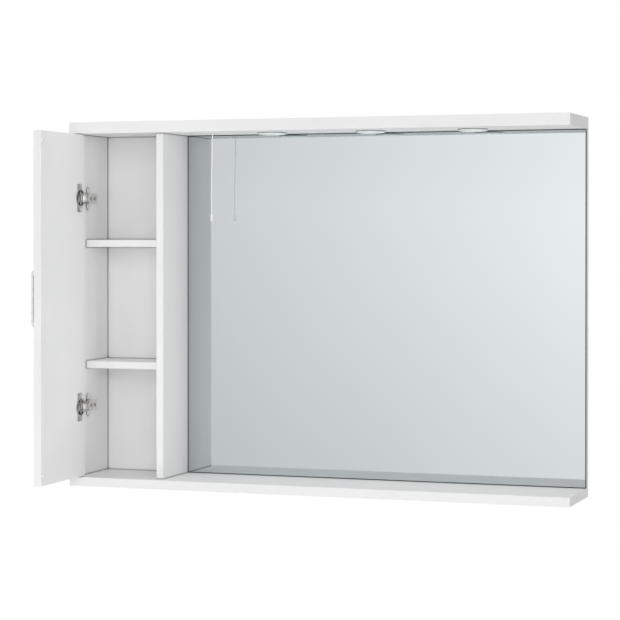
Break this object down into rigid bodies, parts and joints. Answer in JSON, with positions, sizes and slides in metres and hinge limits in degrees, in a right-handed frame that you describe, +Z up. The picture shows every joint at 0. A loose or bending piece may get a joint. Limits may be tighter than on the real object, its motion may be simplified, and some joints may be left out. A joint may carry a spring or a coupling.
{
  "type": "lighted mirror cabinet",
  "caption": "White wall-hung mirror cabinet with an open-swinging cupboard door, shelves, a wide mirror, downlights under its top board and a pull-cord switch.",
  "frame": {"origin": "centre of the rear face, on the wall plane, at half the cabinet's width and height", "axes": "+X to the right seen from the front, +Y into the wall, +Z up; the front faces -Y"},
  "size_m": [1.06, 0.355, 0.75],
  "materials": {
    "white_board": "white gloss lacquer on fibreboard",
    "mirror_silver": "silvered float glass with polished edges",
    "bright_chrome": "polished chrome plate",
    "hinge_nickel": "bright nickel plate on pressed steel",
    "frosted_glass": "frosted glass with a pale green edge",
    "white_plastic": "moulded white plastic",
    "cord_nylon": "white braided nylon cord",
    "clear_pad": "clear soft pad",
    "beech": "plain fluted beech",
    "zinc_steel": "bright zinc plate",
    "foam_tape": "white foam tape",
    "can_aluminium": "spun aluminium",
    "led_board": "white board with a yellow emitter",
    "lead_sheath": "white sheathed lead",
    "grommet_rubber": "black rubber"
  },
  "bodies": {
    "carcass": {"back_board": "white_board", "bottom_panel": "white_board", "cable_grommet": "grommet_rubber", "cord_guide": "white_plastic", "divider_panel": "white_board", "hanger_plates": "zinc_steel", "hanger_screws": "zinc_steel", "hinge_adjusters": "hinge_nickel", "hinge_arm_pins": "hinge_nickel", "hinge_plate_screws": "zinc_steel", "lamp_leads": "lead_sheath", "led_driver": "white_plastic", "left_light_bezel": "bright_chrome", "left_light_board": "led_board", "left_light_housing": "can_aluminium", "left_light_lens": "frosted_glass", "light_clips": "zinc_steel", "lower_hinge_arm": "hinge_nickel", "lower_hinge_plate": "hinge_nickel", "lower_shelf": "white_board", "mains_leads": "lead_sheath", "middle_light_bezel": "bright_chrome", "middle_light_board": "led_board", "middle_light_housing": "can_aluminium", "middle_light_lens": "frosted_glass", "mirror_glass": "mirror_silver", "mirror_tapes": "foam_tape", "panel_dowels": "beech", "panel_screws": "zinc_steel", "right_light_bezel": "bright_chrome", "right_light_board": "led_board", "right_light_housing": "can_aluminium", "right_light_lens": "frosted_glass", "side_panel": "white_board", "switch_body": "white_plastic", "switch_spring": "zinc_steel", "terminal_block": "white_plastic", "top_cover": "white_board", "top_cover_screws": "zinc_steel", "top_panel": "white_board", "upper_hinge_arm": "hinge_nickel", "upper_hinge_plate": "hinge_nickel", "upper_shelf": "white_board"},
    "hinge_main_links": {"upper_hinge_main_link": "hinge_nickel", "lower_hinge_main_link": "hinge_nickel"},
    "hinge_side_links": {"upper_hinge_side_link": "hinge_nickel", "lower_hinge_side_link": "hinge_nickel"},
    "door": {"door_panel": "white_board", "door_handle": "bright_chrome", "door_handle_screws": "zinc_steel", "door_handle_caps": "white_plastic", "door_bumpers": "clear_pad", "hinge_cup_pins": "hinge_nickel", "hinge_cup_screws": "zinc_steel", "upper_hinge_cup": "hinge_nickel", "lower_hinge_cup": "hinge_nickel"},
    "pull": {"switch_plunger": "white_plastic", "pull_cord": "cord_nylon", "cord_knob": "white_plastic"}
  },
  "joints": [
    {"name": "main_link_swing", "type": "hinge", "parent": "carcass", "child": "hinge_main_links", "pos_m": [-0.5, -0.14548, 0], "axis": [0, 0, -1], "range_deg": [-2.3, 51.54]},
    {"name": "door_swing", "type": "hinge", "parent": "hinge_main_links", "child": "door", "pos_m": [-0.5, -0.164, 0], "axis": [0, 0, -1], "range_deg": [-141.53, 6.29]},
    {"name": "side_link_swing", "type": "hinge", "parent": "carcass", "child": "hinge_side_links", "pos_m": [-0.49316, -0.15445, 0], "axis": [0, 0, -1], "range_deg": [-2.34, 52.51]},
    {"name": "cord_pull", "type": "slide", "parent": "carcass", "child": "pull", "axis": [0, 0, -1], "range_m": [0, 0.006], "stiffness_N_per_m": 600, "springref_m": -0.002, "deforming": ["switch_spring"]}
  ],
  "couplings": [
    {"joint": "main_link_swing", "follows": "door_swing", "ratio": -0.36411},
    {"joint": "side_link_swing", "follows": "door_swing", "ratio": -0.37096}
  ]
}
